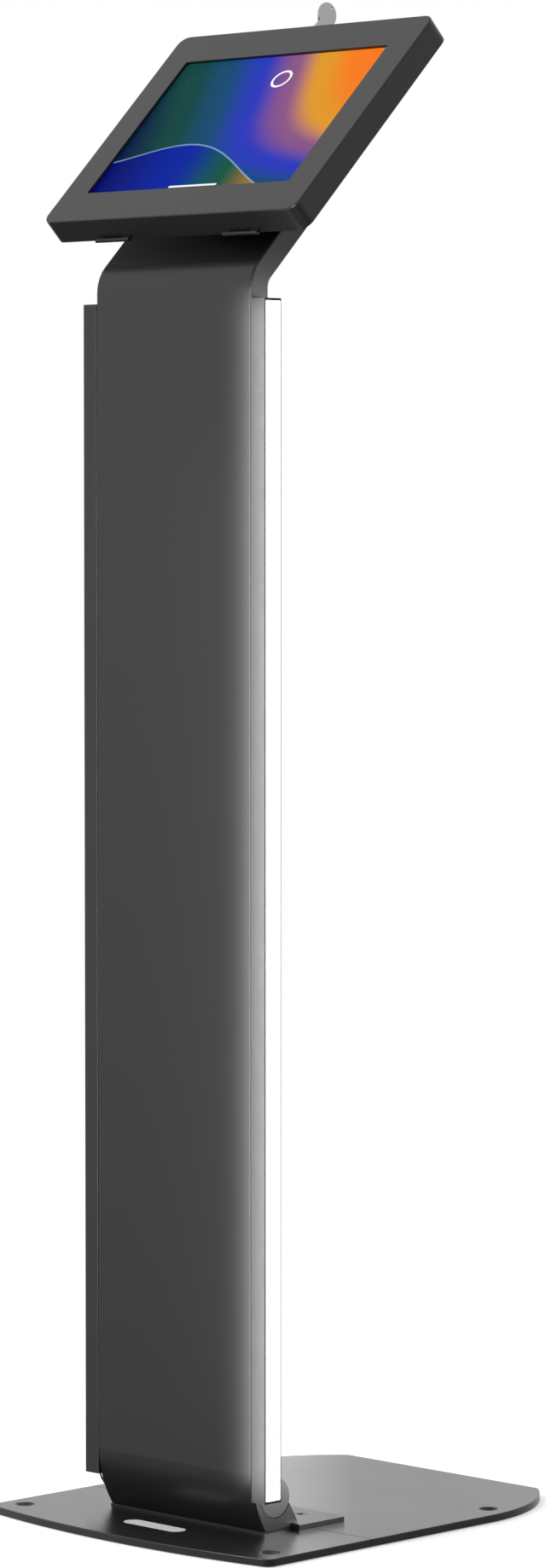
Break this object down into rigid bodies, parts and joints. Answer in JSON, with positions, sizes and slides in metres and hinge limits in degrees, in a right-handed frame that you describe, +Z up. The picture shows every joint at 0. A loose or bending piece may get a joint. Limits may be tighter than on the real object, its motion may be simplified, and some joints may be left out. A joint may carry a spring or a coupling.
{
  "type": "touchscreen kiosk stand",
  "caption": "Floor-standing kiosk: flat steel base, flat column with lit side bars, and a tilted locking enclosure that holds a tablet behind a hinged bezel.",
  "frame": {"origin": "centre of the base's footprint, on the floor", "axes": "+Z up, -Y to the front where the user stands, +X to the right as seen from the front"},
  "size_m": [0.32, 0.382, 1.2205],
  "materials": {
    "black_steel": "satin black powder coat",
    "base_steel": "smooth semi-gloss black powder coat",
    "zinc_steel": "zinc plated",
    "black_screw": "black oxide",
    "tube_steel": "satin black",
    "cap_plastic": "fine matt",
    "black_aluminium": "black anodised",
    "diffuser": "opal, lit from behind",
    "led_board": "white solder mask with LED chips",
    "black_plastic": "fine matt",
    "black_rubber": "matt",
    "lock_chrome": "polished",
    "key_nickel": "nickel plated",
    "tablet_aluminium": "bead blasted",
    "display": "lit display",
    "cover_glass": "clear, polished",
    "foam": "open-cell foam"
  },
  "bodies": {
    "stand": {"base_front_plate": "base_steel", "base_rear_plate": "base_steel", "foot_bracket": "black_steel", "base_screws": "black_screw", "foot_screws": "zinc_steel", "cross_tube": "tube_steel", "tube_caps": "cap_plastic", "column_shell": "black_steel", "column_ribs": "zinc_steel", "rear_cover": "black_steel", "cover_screws": "black_screw", "led_housing_left": "black_aluminium", "led_housing_right": "black_aluminium", "led_diffuser_left": "diffuser", "led_diffuser_right": "diffuser", "led_board_left": "led_board", "led_board_right": "led_board", "led_end_caps": "black_aluminium", "led_screws": "zinc_steel", "led_lead_left": "black_rubber", "led_lead_right": "black_rubber", "lead_grommets": "black_rubber", "power_module": "black_plastic", "module_studs": "zinc_steel", "head_bracket": "black_steel", "arm_screws": "zinc_steel", "head_screws": "zinc_steel", "back_plate": "black_steel", "catch_bracket": "zinc_steel", "catch_screws": "zinc_steel", "tablet_body": "tablet_aluminium", "tablet_display": "display", "tablet_glass": "cover_glass", "tablet_pads": "foam", "tablet_clips": "zinc_steel", "clip_screws": "zinc_steel", "cable_grommet": "black_rubber"},
    "door": {"front_door": "black_steel", "bezel_gasket": "foam", "lock_body": "lock_chrome", "lock_nut": "zinc_steel", "hinge_pins": "black_screw"},
    "core": {"lock_core": "lock_chrome", "lock_cam": "zinc_steel", "cam_screw": "zinc_steel"},
    "key": {"key": "key_nickel"}
  },
  "joints": [
    {"name": "door_hinge", "type": "hinge", "parent": "stand", "child": "door", "pos_m": [0, -0.11796, 1.02588], "axis": [1, 0, 0], "range_deg": [0, 130]},
    {"name": "lock_turn", "type": "hinge", "parent": "door", "child": "core", "pos_m": [0, 0.02962, 1.18788], "axis": [0, -0.7071, -0.7071], "range_deg": [0, 90]},
    {"name": "key_slide", "type": "slide", "parent": "core", "child": "key", "axis": [0, 0.7071, 0.7071], "range_m": [0, 0.03]}
  ]
}
